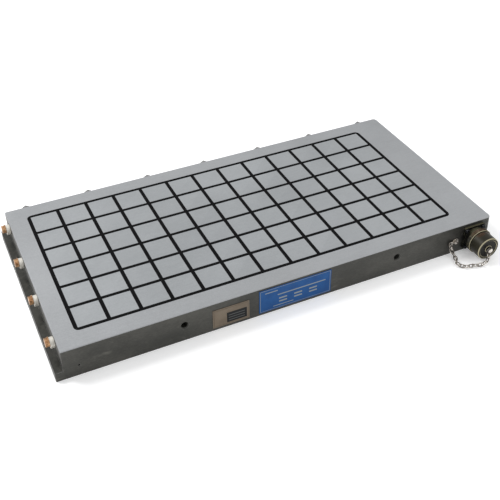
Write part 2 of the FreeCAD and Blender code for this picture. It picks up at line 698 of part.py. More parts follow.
# ---- Nodes ---------------------------------------------------------------------------
def nodes():
    found = {
        "housing": housing(),
        "pole_separator": pole_separator(),
        "reversible_magnets": reversible_magnets(),
        "magnet_coils": coils(),
        "side_magnets_across": side_magnets_across(),
        "side_magnets_along": side_magnets_along(),
        "connector_gasket": connector_gasket(),
        "connector_shell": connector_shell(),
        "connector_insert": connector_insert(),
        "connector_pins": connector_pins(),
        "connector_leads": connector_leads(),
        "dust_cap": dust_cap(),
        "dust_cap_gasket": cap_gasket(),
        "cap_swivel_stud": cap_swivel_stud(),
        "cap_chain": cap_chain(),
        "chain_end_ring": chain_end_ring(),
        "chain_lug": chain_lug(),
        "chain_screw": chain_screw(),
        "blank_nameplate": front_label(
            NAMEPLATE_CENTRE_X, CONNECTOR_HEIGHT, NAMEPLATE_LENGTH, NAMEPLATE_HEIGHT),
        "blank_notice_plate": front_label(
            NOTICE_PLATE_CENTRE_X, NOTICE_PLATE_CENTRE_Z, NOTICE_PLATE_LENGTH, NOTICE_PLATE_HEIGHT),
    }
    for row in range(POLE_ROWS):
        found[f"pole_row_{row + 1}"] = pole_row(row)
    for i, seat in enumerate(left_stop_seats()):
        found[f"left_stop_collar_{i + 1}"] = stop_collar(seat, OUT_LEFT)
    found["left_stop_bolts"] = Part.makeCompound(
        [flanged_bolt(seat, OUT_LEFT, COLLAR_ROOM) for seat in left_stop_seats()])
    found["back_bolts"] = Part.makeCompound(
        [flanged_bolt(seat, OUT_BACK, 0) for seat in back_bolt_seats()])
    return found


def main():
    os.makedirs("parts", exist_ok=True)
    for name, shape in nodes().items():
        shape.exportStep(f"parts/{name}.step")


main()
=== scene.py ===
import json
import math

import bmesh
import bpy
import numpy as np
from mathutils import Matrix, Vector


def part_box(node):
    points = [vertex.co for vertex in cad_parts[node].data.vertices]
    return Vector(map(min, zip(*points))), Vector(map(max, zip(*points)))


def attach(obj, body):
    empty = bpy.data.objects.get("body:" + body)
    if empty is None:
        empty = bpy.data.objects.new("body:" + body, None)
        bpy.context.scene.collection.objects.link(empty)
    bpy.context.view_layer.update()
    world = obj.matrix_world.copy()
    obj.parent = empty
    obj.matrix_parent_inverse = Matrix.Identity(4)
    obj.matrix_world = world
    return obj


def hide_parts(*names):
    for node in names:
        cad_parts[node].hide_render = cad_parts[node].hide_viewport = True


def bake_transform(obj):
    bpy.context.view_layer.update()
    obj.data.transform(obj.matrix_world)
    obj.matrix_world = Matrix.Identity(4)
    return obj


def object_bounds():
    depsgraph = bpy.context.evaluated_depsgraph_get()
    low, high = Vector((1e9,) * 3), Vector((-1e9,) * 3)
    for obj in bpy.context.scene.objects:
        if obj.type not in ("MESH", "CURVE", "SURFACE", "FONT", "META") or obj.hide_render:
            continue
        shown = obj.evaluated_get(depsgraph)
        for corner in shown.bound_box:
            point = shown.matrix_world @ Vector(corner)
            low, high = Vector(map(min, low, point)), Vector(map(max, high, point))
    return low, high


# The looks of a flat magnetic chuck, around its CAD frame. Metres, +X along the plate,
# +Y to the back, +Z up, with the origin in the middle of the plate's underside.

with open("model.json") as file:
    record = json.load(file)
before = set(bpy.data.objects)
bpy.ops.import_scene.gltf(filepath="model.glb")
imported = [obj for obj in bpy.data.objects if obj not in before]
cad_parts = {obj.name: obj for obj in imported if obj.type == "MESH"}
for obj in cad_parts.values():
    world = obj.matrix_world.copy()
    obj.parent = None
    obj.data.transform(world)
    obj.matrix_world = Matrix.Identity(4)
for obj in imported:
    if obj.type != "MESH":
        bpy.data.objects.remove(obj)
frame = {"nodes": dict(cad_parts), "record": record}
NODES = frame["nodes"]
CAD_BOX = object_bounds()
MM = 0.001

# ---- Places read from the frame ------------------------------------------------------
HOUSING_LOW, HOUSING_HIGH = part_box("housing")
CAP_LOW, CAP_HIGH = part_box("dust_cap")
GASKET_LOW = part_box("connector_gasket")[0]
TOP = HOUSING_HIGH.z
CONNECTOR_X = (CAP_LOW.x + CAP_HIGH.x) / 2
CONNECTOR_Z = (CAP_LOW.z + CAP_HIGH.z) / 2
FLANGE_THICKNESS = 3.0 * MM
FLANGE_FRONT = GASKET_LOW.y - FLANGE_THICKNESS
OUT_FRONT = Vector((0, -1, 0))
UP = Vector((0, 0, 1))

# ---- Camera --------------------------------------------------------------------------
CAMERA_PLACE = Vector((-0.3884, -0.8654, 0.7323))
CAMERA_AZIMUTH = math.radians(-24.52)
CAMERA_ELEVATION = math.radians(35.05)
CAMERA_ROLL = math.radians(-0.74)
CAMERA_LENS = 61.3
SENSOR_WIDTH = 36.0
CAMERA_SHIFT_Y = -0.1


def add_camera():
    flat = math.cos(CAMERA_ELEVATION)
    forward = Vector((
        -math.sin(CAMERA_AZIMUTH) * flat,
        math.cos(CAMERA_AZIMUTH) * flat,
        -math.sin(CAMERA_ELEVATION),
    ))
    right = forward.cross(UP).normalized()
    up = right.cross(forward)
    turn = Matrix.Rotation(-CAMERA_ROLL, 3, forward)
    right, up = turn @ right, turn @ up
    data = bpy.data.cameras.new("camera")
    data.sensor_width = SENSOR_WIDTH
    data.lens = CAMERA_LENS
    data.shift_y = CAMERA_SHIFT_Y
    data.clip_start = 0.01
    data.clip_end = 50.0
    camera = bpy.data.objects.new("camera", data)
    bpy.context.scene.collection.objects.link(camera)
    columns = Matrix((right, up, -forward)).transposed()
    camera.matrix_world = Matrix.Translation(CAMERA_PLACE) @ columns.to_4x4()
    bpy.context.scene.camera = camera


# ---- Materials -----------------------------------------------------------------------
def tone(red, green, blue):
    """Linear colour from the everyday 0 to 255 scale."""
    linear = []
    for value in (red, green, blue):
        part = value / 255
        linear.append(part / 12.92 if part <= 0.04045 else ((part + 0.055) / 1.055) ** 2.4)
    return (*linear, 1.0)


EDGE_SAMPLES = 4


class Finish:
    """One material of procedural nodes, patterned in the object's own metres."""

    def __init__(self, name, metallic, roughness, **constants):
        self.material = bpy.data.materials.new(name)
        self.material.use_nodes = True
        self.nodes = self.material.node_tree.nodes
        self.links = self.material.node_tree.links
        self.shader = self.nodes["Principled BSDF"]
        self.shader.inputs["Metallic"].default_value = metallic
        self.shader.inputs["Roughness"].default_value = roughness
        for socket, value in constants.items():
            self.shader.inputs[socket.replace("_", " ")].default_value = value
        coordinates = self.nodes.new("ShaderNodeTexCoord").outputs
        self.place = coordinates["Object"]
        self.normal = coordinates["Normal"]
        self.slope = None

    def feed(self, socket, value):
        if isinstance(value, bpy.types.NodeSocket):
            self.links.new(value, socket)
        else:
            socket.default_value = value

    def split(self, vector):
        node = self.nodes.new("ShaderNodeSeparateXYZ")
        self.feed(node.inputs[0], vector)
        return node.outputs

    def stretched(self, stretch):
        node = self.nodes.new("ShaderNodeVectorMath")
        node.operation = "MULTIPLY"
        self.feed(node.inputs[0], self.place)
        node.inputs[1].default_value = stretch
        return node.outputs[0]

    def noise(self, scale, detail, stretch=None):
        node = self.nodes.new("ShaderNodeTexNoise")
        self.feed(node.inputs["Vector"], self.stretched(stretch) if stretch else self.place)
        node.inputs["Scale"].default_value = scale
        node.inputs["Detail"].default_value = detail
        return node.outputs["Fac"]

    def sum(self, operation, first, second=0.0, third=0.0):
        node = self.nodes.new("ShaderNodeMath")
        node.operation = operation
        for socket, value in zip(node.inputs, (first, second, third)):
            self.feed(socket, value)
        return node.outputs[0]

    def between(self, value, low, high, to_low=0.0, to_high=1.0):
        node = self.nodes.new("ShaderNodeMapRange")
        node.interpolation_type = "SMOOTHSTEP"
        for name, number in (
            ("Value", value), ("From Min", low), ("From Max", high),
            ("To Min", to_low), ("To Max", to_high),
        ):
            self.feed(node.inputs[name], number)
        return node.outputs["Result"]

    def mix(self, share, first, second):
        node = self.nodes.new("ShaderNodeMix")
        node.data_type = "RGBA"
        self.feed(node.inputs["Factor"], share)
        self.feed(node.inputs["A"], first)
        self.feed(node.inputs["B"], second)
        return node.outputs["Result"]

    def facing(self):
        """Which way the surface faces, in the frame's axes."""
        return self.split(self.normal)

    def edges(self, radius):
        """1 on worn edges and corners, 0 on flats."""
        bevel = self.nodes.new("ShaderNodeBevel")
        bevel.samples = EDGE_SAMPLES
        bevel.inputs["Radius"].default_value = radius
        geometry = self.nodes.new("ShaderNodeNewGeometry")
        dot = self.nodes.new("ShaderNodeVectorMath")
        dot.operation = "DOT_PRODUCT"
        self.feed(dot.inputs[0], bevel.outputs[0])
        self.feed(dot.inputs[1], geometry.outputs["Normal"])
        return self.between(dot.outputs["Value"], 0.97, 0.80)

    def colour(self, value):
        self.feed(self.shader.inputs["Base Color"], value)

    def rough(self, value):
        self.feed(self.shader.inputs["Roughness"], value)

    def bump(self, height, distance, strength):
        node = self.nodes.new("ShaderNodeBump")
        node.inputs["Strength"].default_value = strength
        node.inputs["Distance"].default_value = distance
        self.feed(node.inputs["Height"], height)
        if self.slope is not None:
            self.feed(node.inputs["Normal"], self.slope)
        self.slope = node.outputs["Normal"]
        self.feed(self.shader.inputs["Normal"], self.slope)


def ground_pattern(finish, light, dark):
    """Grey of a surface-ground face: fine speckle, grinding lines along X, faint cloudiness."""
    speckle = finish.noise(900.0, 2.0)
    lines = finish.noise(60.0, 3.0, (1.0, 30.0, 30.0))
    clouds = finish.noise(9.0, 3.0)
    share = finish.sum("MULTIPLY", speckle, 0.55)
    share = finish.sum("MULTIPLY_ADD", lines, 0.30, share)
    share = finish.sum("MULTIPLY_ADD", clouds, 0.45, share)
    share = finish.between(share, 0.42, 0.88)
    return finish.mix(share, dark, light), lines, speckle


GROUND_DEPTH = 1.0 * MM


def ground_steel():
    """The housing: its top ground bright, its sides milled and oily, their dark tone partly that
    finish and partly painted shade on the walls and the ledge.
    """
    finish = Finish("ground_steel", 0.45, 0.48)
    top, lines, speckle = ground_pattern(finish, tone(170, 172, 174), tone(151, 153, 155))
    clouds = finish.noise(22.0, 4.0, (1.0, 1.0, 1.6))
    grain = finish.noise(1100.0, 2.0, (0.25, 0.25, 1.0))
    share = finish.sum("MULTIPLY_ADD", grain, 0.45, finish.sum("MULTIPLY", clouds, 0.7))
    # The side tone is partly the milled finish and partly painted shade: dark enough to stand in
    # for the shade on walls that face away from the light.
    side = finish.mix(finish.between(share, 0.35, 0.85), tone(52, 52, 48), tone(76, 75, 70))
    smears = finish.noise(34.0, 3.0, (1.0, 1.0, 2.4))
    smears = finish.between(smears, 0.60, 0.78, 0.0, 0.45)
    side = finish.mix(smears, side, tone(112, 110, 102))
    # Only upward faces at the very top get the ground tone; the walls and the ledge keep the
    # darker side tone, partly painted shade.
    _, _, height = finish.split(finish.place)
    at_top = finish.sum("GREATER_THAN", height, TOP - GROUND_DEPTH)
    upward = finish.sum("MULTIPLY", at_top, finish.between(finish.facing()[2], 0.30, 0.62))
    base = finish.mix(upward, side, top)
    worn = finish.edges(0.7 * MM)
    base = finish.mix(finish.sum("MULTIPLY", worn, 0.35), base, tone(190, 191, 192))
    finish.colour(base)
    finish.rough(finish.between(speckle, 0.3, 0.7, 0.42, 0.54))
    finish.bump(lines, 0.03 * MM, 0.35)
    finish.bump(speckle, 0.02 * MM, 0.30)
    return finish.material


def pole_steel():
    """Soft-iron pole tops, ground with the housing; each pole a shade of its own."""
    finish = Finish("pole_steel", 0.45, 0.48)
    top, lines, speckle = ground_pattern(finish, tone(170, 173, 175), tone(150, 153, 155))
    geometry = finish.nodes.new("ShaderNodeNewGeometry")
    own = finish.between(geometry.outputs["Random Per Island"], 0.0, 1.0, 0.0, 0.10)
    finish.colour(finish.mix(own, top, tone(128, 131, 134)))
    finish.rough(finish.between(speckle, 0.3, 0.7, 0.42, 0.54))
    finish.bump(lines, 0.03 * MM, 0.35)
    finish.bump(speckle, 0.02 * MM, 0.30)
    return finish.material


def black_resin():
    finish = Finish("black_resin", 0.0, 0.75, Specular_IOR_Level=0.10)
    grain = finish.noise(1500.0, 2.0)
    finish.colour(finish.mix(grain, tone(2, 2, 3), tone(9, 9, 10)))
    finish.rough(finish.between(grain, 0.3, 0.7, 0.68, 0.85))
    finish.bump(grain, 0.04 * MM, 0.4)
    return finish.material


def cast_magnet():
    finish = Finish("alnico", 0.7, 0.55)
    grain = finish.noise(700.0, 4.0)
    finish.colour(finish.mix(grain, tone(96, 94, 92), tone(130, 128, 124)))
    finish.bump(grain, 0.1 * MM, 0.5)
    return finish.material


TURN_PITCH = 0.9 * MM


def copper_winding():
    """Turns of enamelled wire, one above the other."""
    finish = Finish("copper_winding", 0.6, 0.32)
    height = finish.split(finish.place)[2]
    turn = finish.sum("SINE", finish.sum("MULTIPLY", height, 2 * math.pi / TURN_PITCH))
    share = finish.between(turn, -1.0, 1.0)
    finish.colour(finish.mix(share, tone(92, 44, 22), tone(186, 104, 58)))
    finish.bump(share, 0.25 * MM, 0.8)
    return finish.material


def nickel_magnet():
    finish = Finish("nickel_magnet", 0.9, 0.28)
    grain = finish.noise(300.0, 3.0)
    finish.colour(finish.mix(grain, tone(170, 168, 160), tone(202, 200, 192)))
    finish.rough(finish.between(grain, 0.3, 0.7, 0.22, 0.36))
    return finish.material


def sealing_rubber():
    finish = Finish("sealing_rubber", 0.0, 0.75)
    grain = finish.noise(1800.0, 3.0)
    finish.colour(finish.mix(grain, tone(14, 14, 15), tone(32, 32, 34)))
    finish.bump(grain, 0.05 * MM, 0.6)
    return finish.material


def olive_shell():
    """Black-olive plating on the connector, thin and grey where it is handled, with painted light:
    a lighter olive on faces that look up.
    """
    finish = Finish("olive_shell", 0.20, 0.50, Specular_IOR_Level=0.12)
    clouds = finish.noise(160.0, 3.0)
    grain = finish.noise(1400.0, 2.0)
    base = finish.mix(clouds, tone(13, 13, 15), tone(34, 34, 29))
    # Painted light: faces that look up get a lighter olive, standing in for light from above.
    upward = finish.between(finish.facing()[2], 0.5, 0.9)
    base = finish.mix(upward, base, tone(70, 68, 52))
    worn = finish.sum("MULTIPLY", finish.edges(0.8 * MM), finish.between(clouds, 0.3, 0.6))
    finish.colour(finish.mix(worn, base, tone(120, 116, 94)))
    finish.rough(finish.between(grain, 0.3, 0.7, 0.38, 0.56))
    finish.bump(grain, 0.03 * MM, 0.4)
    return finish.material


def olive_cap():
    """Olive-drab plating, brown in patches, the face that looks out front darkened as painted
    shade, and the chamfer painted bright: bare metal with a painted highlight.
    """
    finish = Finish("olive_cap", 0.25, 0.42, Specular_IOR_Level=0.2)
    clouds = finish.noise(90.0, 3.0)
    patches = finish.noise(45.0, 4.0)
    grain = finish.noise(1300.0, 2.0)
    base = finish.mix(clouds, tone(26, 25, 20), tone(54, 51, 40))
    base = finish.mix(finish.between(patches, 0.48, 0.60), base, tone(60, 43, 29))
    outward = finish.facing()[1]
    # Painted shade: the face that looks out front gets a near-black olive, standing in for the
    # shade on it.
    base = finish.mix(finish.between(outward, -0.90, -0.98), base, tone(20, 19, 15))
    # Painted highlight: the chamfer round the face gets a bright bare-metal tone all round, partly
    # bare metal and partly a painted highlight.
    chamfer = finish.sum(
        "MULTIPLY", finish.between(outward, -0.30, -0.55), finish.between(outward, -0.95, -0.85))
    worn = finish.sum("MULTIPLY", finish.edges(0.9 * MM), finish.between(clouds, 0.35, 0.60))
    # From here the worn-edge mask also carries the painted chamfer highlight.
    worn = finish.sum("MAXIMUM", finish.sum("MULTIPLY", worn, 0.6), chamfer)
    finish.colour(finish.mix(worn, base, tone(168, 160, 134)))
    finish.rough(finish.between(grain, 0.3, 0.7, 0.34, 0.50))
    finish.bump(grain, 0.04 * MM, 0.4)
    return finish.material


def insert_plastic():
    finish = Finish("insert_plastic", 0.0, 0.45)
    grain = finish.noise(1200.0, 2.0)
    finish.colour(finish.mix(grain, tone(26, 26, 27), tone(44, 44, 46)))
    finish.bump(grain, 0.03 * MM, 0.4)
    return finish.material


def contact_metal():
    finish = Finish("contact_metal", 1.0, 0.22)
    grain = finish.noise(800.0, 2.0)
    finish.colour(finish.mix(grain, tone(196, 160, 88), tone(228, 198, 130)))
    return finish.material


def lead_sleeve():
    finish = Finish("lead_sleeve", 0.0, 0.38)
    grain = finish.noise(500.0, 2.0)
    finish.colour(finish.mix(grain, tone(140, 26, 20), tone(170, 40, 30)))
    finish.bump(grain, 0.04 * MM, 0.3)
    return finish.material


def bright_steel():
    """Bright plated wire, tarnished brown in places."""
    finish = Finish("bright_steel", 1.0, 0.22)
    clouds = finish.noise(260.0, 3.0)
    base = finish.mix(finish.between(clouds, 0.35, 0.62), tone(92, 84, 76), tone(214, 208, 200))
    finish.colour(base)
    finish.rough(finish.between(clouds, 0.3, 0.7, 0.34, 0.18))
    return finish.material


def plain_steel():
    """Zinc-plated steel gone grey: the bolts on the back."""
    finish = Finish("plain_steel", 0.6, 0.42)
    clouds = finish.noise(240.0, 3.0)
    grain = finish.noise(1400.0, 2.0)
    base = finish.mix(clouds, tone(104, 104, 104), tone(144, 143, 141))
    worn = finish.sum("MULTIPLY", finish.edges(0.4 * MM), 0.6)
    finish.colour(finish.mix(worn, base, tone(190, 189, 186)))
    finish.rough(finish.between(grain, 0.3, 0.7, 0.34, 0.50))
    finish.bump(grain, 0.02 * MM, 0.3)
    return finish.material


def yellow_zinc():
    """Yellow-passivated zinc: straw, orange and pink clouds."""
    finish = Finish("yellow_zinc", 0.80, 0.32)
    clouds = finish.noise(220.0, 2.0)
    grain = finish.noise(1500.0, 2.0)
    base = finish.mix(finish.between(clouds, 0.30, 0.70), tone(152, 104, 68), tone(208, 166, 124))
    worn = finish.sum("MULTIPLY", finish.edges(0.4 * MM), 0.7)
    finish.colour(finish.mix(worn, base, tone(244, 214, 172)))
    finish.rough(finish.between(grain, 0.3, 0.7, 0.26, 0.40))
    finish.bump(grain, 0.02 * MM, 0.3)
    return finish.material


def collar_steel():
    """Hardened collars, turned bright, with duller rings round the bolt axis."""
    finish = Finish("collar_steel", 0.40, 0.34)
    grain = finish.noise(900.0, 2.0)
    clouds = finish.noise(120.0, 3.0)
    base = finish.mix(clouds, tone(214, 210, 200), tone(236, 232, 222))
    rings = finish.noise(420.0, 2.0, (6.0, 1.0, 1.0))
    base = finish.mix(finish.between(rings, 0.50, 0.70, 0.0, 0.35), base, tone(150, 144, 134))
    worn = finish.sum("MULTIPLY", finish.edges(0.5 * MM), 0.4)
    finish.colour(finish.mix(worn, base, tone(150, 142, 128)))
    finish.rough(finish.between(grain, 0.3, 0.7, 0.28, 0.42))
    finish.bump(grain, 0.02 * MM, 0.3)
    return finish.material


PRINT_BLUR = 0.1 * MM


class PlateFace:
    """Distances on a front plate, for its printed border and its blank fields."""

    def __init__(self, finish, node):
        self.finish = finish
        low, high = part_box(node)
        self.half = (high - low) / 2
        centre = (low + high) / 2
        x, _, z = finish.split(finish.place)
        self.x = finish.sum("SUBTRACT", x, centre.x)
        self.z = finish.sum("SUBTRACT", z, centre.z)

    def outside(self, left, right, bottom, top):
        """Distance outside a rectangle given in shares of the plate's half sizes."""
        finish = self.finish
        sides = []
        for place, half, low, high in (
            (self.x, self.half.x, left, right), (self.z, self.half.z, bottom, top),
        ):
            offset = finish.sum("ABSOLUTE", finish.sum("SUBTRACT", place, (low + high) / 2 * half))
            sides.append(finish.sum("SUBTRACT", offset, (high - low) / 2 * half))
        return finish.sum("MAXIMUM", *sides)

    def filled(self, *sides):
        return self.finish.between(self.outside(*sides), PRINT_BLUR, -PRINT_BLUR)

    def outlined(self, width, *sides):
        offset = self.finish.sum("ABSOLUTE", self.outside(*sides))
        return self.finish.between(offset, width, width * 0.5)

    def any_of(self, masks):
        total = masks[0]
        for mask in masks[1:]:
            total = self.finish.sum("MAXIMUM", total, mask)
        return total


def lacquered(name, ground, lighter):
    finish = Finish(name, 0.0, 0.45, Specular_IOR_Level=0.2)
    grain = finish.noise(1400.0, 2.0)
    clouds = finish.noise(60.0, 3.0)
    share = finish.sum("MULTIPLY_ADD", grain, 0.3, finish.sum("MULTIPLY", clouds, 0.7))
    base = finish.mix(finish.between(share, 0.3, 0.7), ground, lighter)
    finish.rough(finish.between(grain, 0.3, 0.7, 0.32, 0.46))
    return finish, base


# Each rectangle is left, right, bottom and top, in shares of the plate's half sizes.
BLUE_BORDER = (-0.97, 0.97, -0.92, 0.92)
BLUE_BARS = [(-0.50, 0.84, 0.20, 0.29), (-0.84, -0.50, 0.62, 0.70), (-0.62, -0.06, -0.74, -0.68)]
BLUE_FIELD_LEFTS = [-0.46, -0.04, 0.38]
BLUE_FIELD_BOTTOMS = [-0.46, -0.18]
BLUE_FIELD_WIDTH = 0.22
BLUE_FIELD_HEIGHT = 0.12


def blue_plate():
    """Blue nameplate: a pale border line, one blank title bar and blank fields under it."""
    finish, base = lacquered("blue_plate", tone(14, 66, 122), tone(22, 80, 138))
    face = PlateFace(finish, "blank_nameplate")
    marks = [face.outlined(0.35 * MM, *BLUE_BORDER)]
    marks += [face.filled(*bar) for bar in BLUE_BARS]
    for left in BLUE_FIELD_LEFTS:
        for bottom in BLUE_FIELD_BOTTOMS:
            right, top = left + BLUE_FIELD_WIDTH, bottom + BLUE_FIELD_HEIGHT
            marks.append(face.filled(left, right, bottom, top))
    printed = face.any_of(marks)
    ink = finish.sum("MULTIPLY", printed, 0.85)
    finish.colour(finish.mix(ink, base, tone(142, 148, 142)))
    finish.bump(printed, 0.03 * MM, 0.3)
    return finish.material


BEIGE_BORDER = (-0.93, 0.93, -0.88, 0.88)
BEIGE_PANEL = (-0.24, 0.86, -0.78, 0.34)
BEIGE_RULE_LEVELS = [-0.58, -0.30, -0.02]
BEIGE_RULE_HEIGHT = 0.07


def beige_plate():
    """Small beige plate: a border line and a dark blank panel with pale rules."""
    finish, base = lacquered("beige_plate", tone(104, 92, 78), tone(120, 108, 93))
    face = PlateFace(finish, "blank_notice_plate")
    border = face.outlined(0.30 * MM, *BEIGE_BORDER)
    base = finish.mix(border, base, tone(74, 64, 52))
    panel = face.filled(*BEIGE_PANEL)
    base = finish.mix(panel, base, tone(15, 16, 17))
    rules = [
        face.filled(-0.14, 0.74, level, level + BEIGE_RULE_HEIGHT) for level in BEIGE_RULE_LEVELS
    ]
    finish.colour(finish.mix(face.any_of(rules), base, tone(88, 90, 90)))
    finish.bump(panel, 0.03 * MM, 0.3)
    return finish.material


def black_oxide():
    finish = Finish("black_oxide", 0.6, 0.34)
    grain = finish.noise(900.0, 2.0)
    base = finish.mix(grain, tone(20, 21, 24), tone(44, 45, 48))
    worn = finish.sum("MULTIPLY", finish.edges(0.3 * MM), 0.6)
    finish.colour(finish.mix(worn, base, tone(120, 122, 126)))
    return finish.material


def floor_finish():
    """Pale floor that glows a little, so that soft shadows stay faint."""
    white = (1.0, 1.0, 1.0, 1.0)
    finish = Finish("studio_floor", 0.0, 0.85, Emission_Color=white, Emission_Strength=0.25)
    grain = finish.noise(8.0, 2.0)
    finish.colour(finish.mix(grain, tone(244, 244, 244), tone(250, 250, 250)))
    return finish.material


MATERIALS = {
    "ground_steel": ground_steel(),
    "pole_steel": pole_steel(),
    "black_resin": black_resin(),
    "alnico": cast_magnet(),
    "copper_winding": copper_winding(),
    "nickel_magnet": nickel_magnet(),
    "sealing_rubber": sealing_rubber(),
    "olive_shell": olive_shell(),
    "insert_plastic": insert_plastic(),
    "contact_metal": contact_metal(),
    "lead_sleeve": lead_sleeve(),
    "olive_cap": olive_cap(),
    "bright_steel": bright_steel(),
    "yellow_zinc": yellow_zinc(),
    "collar_steel": collar_steel(),
    "plain_steel": plain_steel(),
    "blue_plate": blue_plate(),
    "beige_plate": beige_plate(),
    "black_oxide": black_oxide(),
}


def dress_cad_nodes():
    for row in frame["record"]["subparts"]:
        mesh = NODES[row["node"]].data
        mesh.materials.clear()
        mesh.materials.append(MATERIALS[row["material_slot"]])


# ---- Mesh helpers --------------------------------------------------------------------
SMOOTH_ANGLE = math.radians(32)
SAME_POINT = 0.001 * MM


def piece(name, bm, finish, body):
    """A finished object from a bmesh that is already in the frame's metres."""
    bmesh.ops.recalc_face_normals(bm, faces=bm.faces)
    mesh = bpy.data.meshes.new(name)
    bm.to_mesh(mesh)
    bm.free()
    mesh.materials.append(MATERIALS[finish])
    obj = bpy.data.objects.new(name, mesh)
    bpy.context.scene.collection.objects.link(obj)
    mesh.shade_smooth()
    mesh.set_sharp_from_angle(angle=SMOOTH_ANGLE)
    if body:
        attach(obj, body)
    return obj


def axes_for(direction):
    """Two unit vectors square to a level direction, the first upright."""
    return UP, direction.cross(UP)


def loop_around(bm, middle, axes, segments, reach):
    """Ring of vertices about a middle; reach(angle) is its radius."""
    loop = []
    for k in range(segments):
        angle = 2 * math.pi * k / segments
        spoke = axes[0] * math.cos(angle) + axes[1] * math.sin(angle)
        loop.append(bm.verts.new(middle + spoke * reach(angle)))
    return loop


def skin(bm, near, far):
    """Faces between two rings of as many vertices."""
    count = len(near)
    for k in range(count):
        after = (k + 1) % count
        bm.faces.new((near[k], far[k], far[after], near[after]))


def revolve(bm, centre, direction, profile, segments, ripple):
    """Solid turned about an axis, with a bore through it. profile: (distance along, radius)
    pairs in a closed round. ripple(index, angle): what is added to a profile point's radius."""
    axes = axes_for(direction)
    loops = []
    for index, (along, radius) in enumerate(profile):
        loops.append(loop_around(
            bm, centre + direction * along, axes, segments,
            lambda angle: radius + ripple(index, angle)))
    for i, loop in enumerate(loops):
        skin(bm, loops[i - 1], loop)


WIRE_SIDES = 12


def closed_wire(bm, points, normal, radius):
    """Round wire bent into a flat closed loop through the points."""
    count = len(points)
    loops = []
    for i, point in enumerate(points):
        along = (points[(i + 1) % count] - points[i - 1]).normalized()
        out = (normal - along * normal.dot(along)).normalized()
        axes = (out, along.cross(out))
        loops.append(loop_around(bm, point, axes, WIRE_SIDES, lambda angle: radius))
    for i, loop in enumerate(loops):
        skin(bm, loops[i - 1], loop)


def islands(obj):
    """The separate solids of a CAD node, each as a list of its corner points."""
    bm = bmesh.new()
    bm.from_mesh(obj.data)
    bmesh.ops.remove_doubles(bm, verts=bm.verts, dist=SAME_POINT)
    left, groups = set(bm.verts), []
    for start in bm.verts:
        if start not in left:
            continue
        left.discard(start)
        group, edge = [], [start]
        while edge:
            vert = edge.pop()
            group.append(vert.co.copy())
            for linked in (e.other_vert(vert) for e in vert.link_edges):
                if linked in left:
                    left.discard(linked)
                    edge.append(linked)
        groups.append(group)
    bm.free()
    return groups


def middle_of(points):
    return sum(points, Vector()) / len(points)


# ---- Chain ---------------------------------------------------------------------------
# The round wire is a little slimmer than the CAD's six-sided wire, to stay inside its box.
WIRE_RADIUS = 0.70 * MM
LINK_LENGTH = 10.1 * MM
LINK_WIDTH = 5.9 * MM
RING_WIRE_RADIUS = 0.48 * MM
RING_RADIUS = 3.9 * MM           # to the middle of its wire
LINK_END_STEPS = 10
RING_STEPS = 40


def link_axes(points):
    """A link's centre, long direction and flat normal, from the spread of its points."""
    centre = middle_of(points)
    offsets = np.array([tuple(p - centre) for p in points])
    _, directions = np.linalg.eigh(offsets.T @ offsets)
    return centre, Vector(directions[:, 2]), Vector(directions[:, 1])


def add_chain():
    bm = bmesh.new()
    half_width = LINK_WIDTH / 2 - WIRE_RADIUS
    straight = LINK_LENGTH / 2 - WIRE_RADIUS - half_width
    for points in islands(NODES["cap_chain"]):
        centre, along, across = link_axes(points)
        normal = along.cross(across)
        path = []
        for end in (1, -1):
            for k in range(LINK_END_STEPS + 1):
                angle = math.pi * (k / LINK_END_STEPS - 0.5)
                reach = straight + half_width * math.cos(angle)
                offset = half_width * math.sin(angle)
                path.append(centre + (along * reach + across * offset) * end)
        closed_wire(bm, path, normal, WIRE_RADIUS)
    chain = piece("chain_links", bm, "bright_steel", None)
    ring_low, ring_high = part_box("chain_end_ring")
    end = Vector((ring_low.x, (ring_low.y + ring_high.y) / 2, 0.0))
    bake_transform(chain)
    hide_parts("cap_chain")


def add_end_ring():
    """The round ring hung on the swivel's neck, smooth where the CAD ring has flats."""
    points = islands(NODES["chain_end_ring"])[0]
    centre = middle_of(points)
    across = Vector((1, 0, 0))
    down = min(points, key=lambda p: p.z) - centre
    down = (down - across * down.x).normalized()
    normal = across.cross(down)
    bm = bmesh.new()
    path = []
    for k in range(RING_STEPS):
        angle = 2 * math.pi * k / RING_STEPS
        spoke = across * math.cos(angle) + down * math.sin(angle)
        path.append(centre + spoke * RING_RADIUS)
    closed_wire(bm, path, normal, RING_WIRE_RADIUS)
    ring = piece("chain_ring", bm, "bright_steel", "cap_swivel")
    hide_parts("chain_end_ring")


# ---- Dust cap ------------------------------------------------------------------------
CAP_LENGTH = CAP_HIGH.y - CAP_LOW.y
RIM_RADIUS = (CAP_HIGH.z - CAP_LOW.z) / 2
RIM_LENGTH = 6.5 * MM
RIM_EDGE_ALONG = 0.6 * MM
RIM_EDGE_IN = 0.7 * MM
KNURLS = 72
KNURL_DEPTH = 0.45 * MM
KNURL_STEPS = 4                 # segments to each knurl
KNURLED_POINTS = (2, 3)         # the rim's two full-size points in the profile
CAP_BODY_RADIUS = 16.5 * MM
CAP_GROOVE_DEPTH = 0.5 * MM     # relief between the rim and the body
CAP_CHAMFER = 1.1 * MM
CAP_BORE_RADIUS = 14.28 * MM
CAP_BORE_LEAD_IN = 0.5 * MM
CAP_FACE_THICKNESS = 3.5 * MM
CAP_DISH_DEPTH = 0.5 * MM
CAP_DISH_OUTER = CAP_BODY_RADIUS - 3.6 * MM
CAP_DISH_INNER = 5.2 * MM
CAP_DISH_EDGE = 0.6 * MM
STUD_HOLE_RADIUS = 1.06 * MM


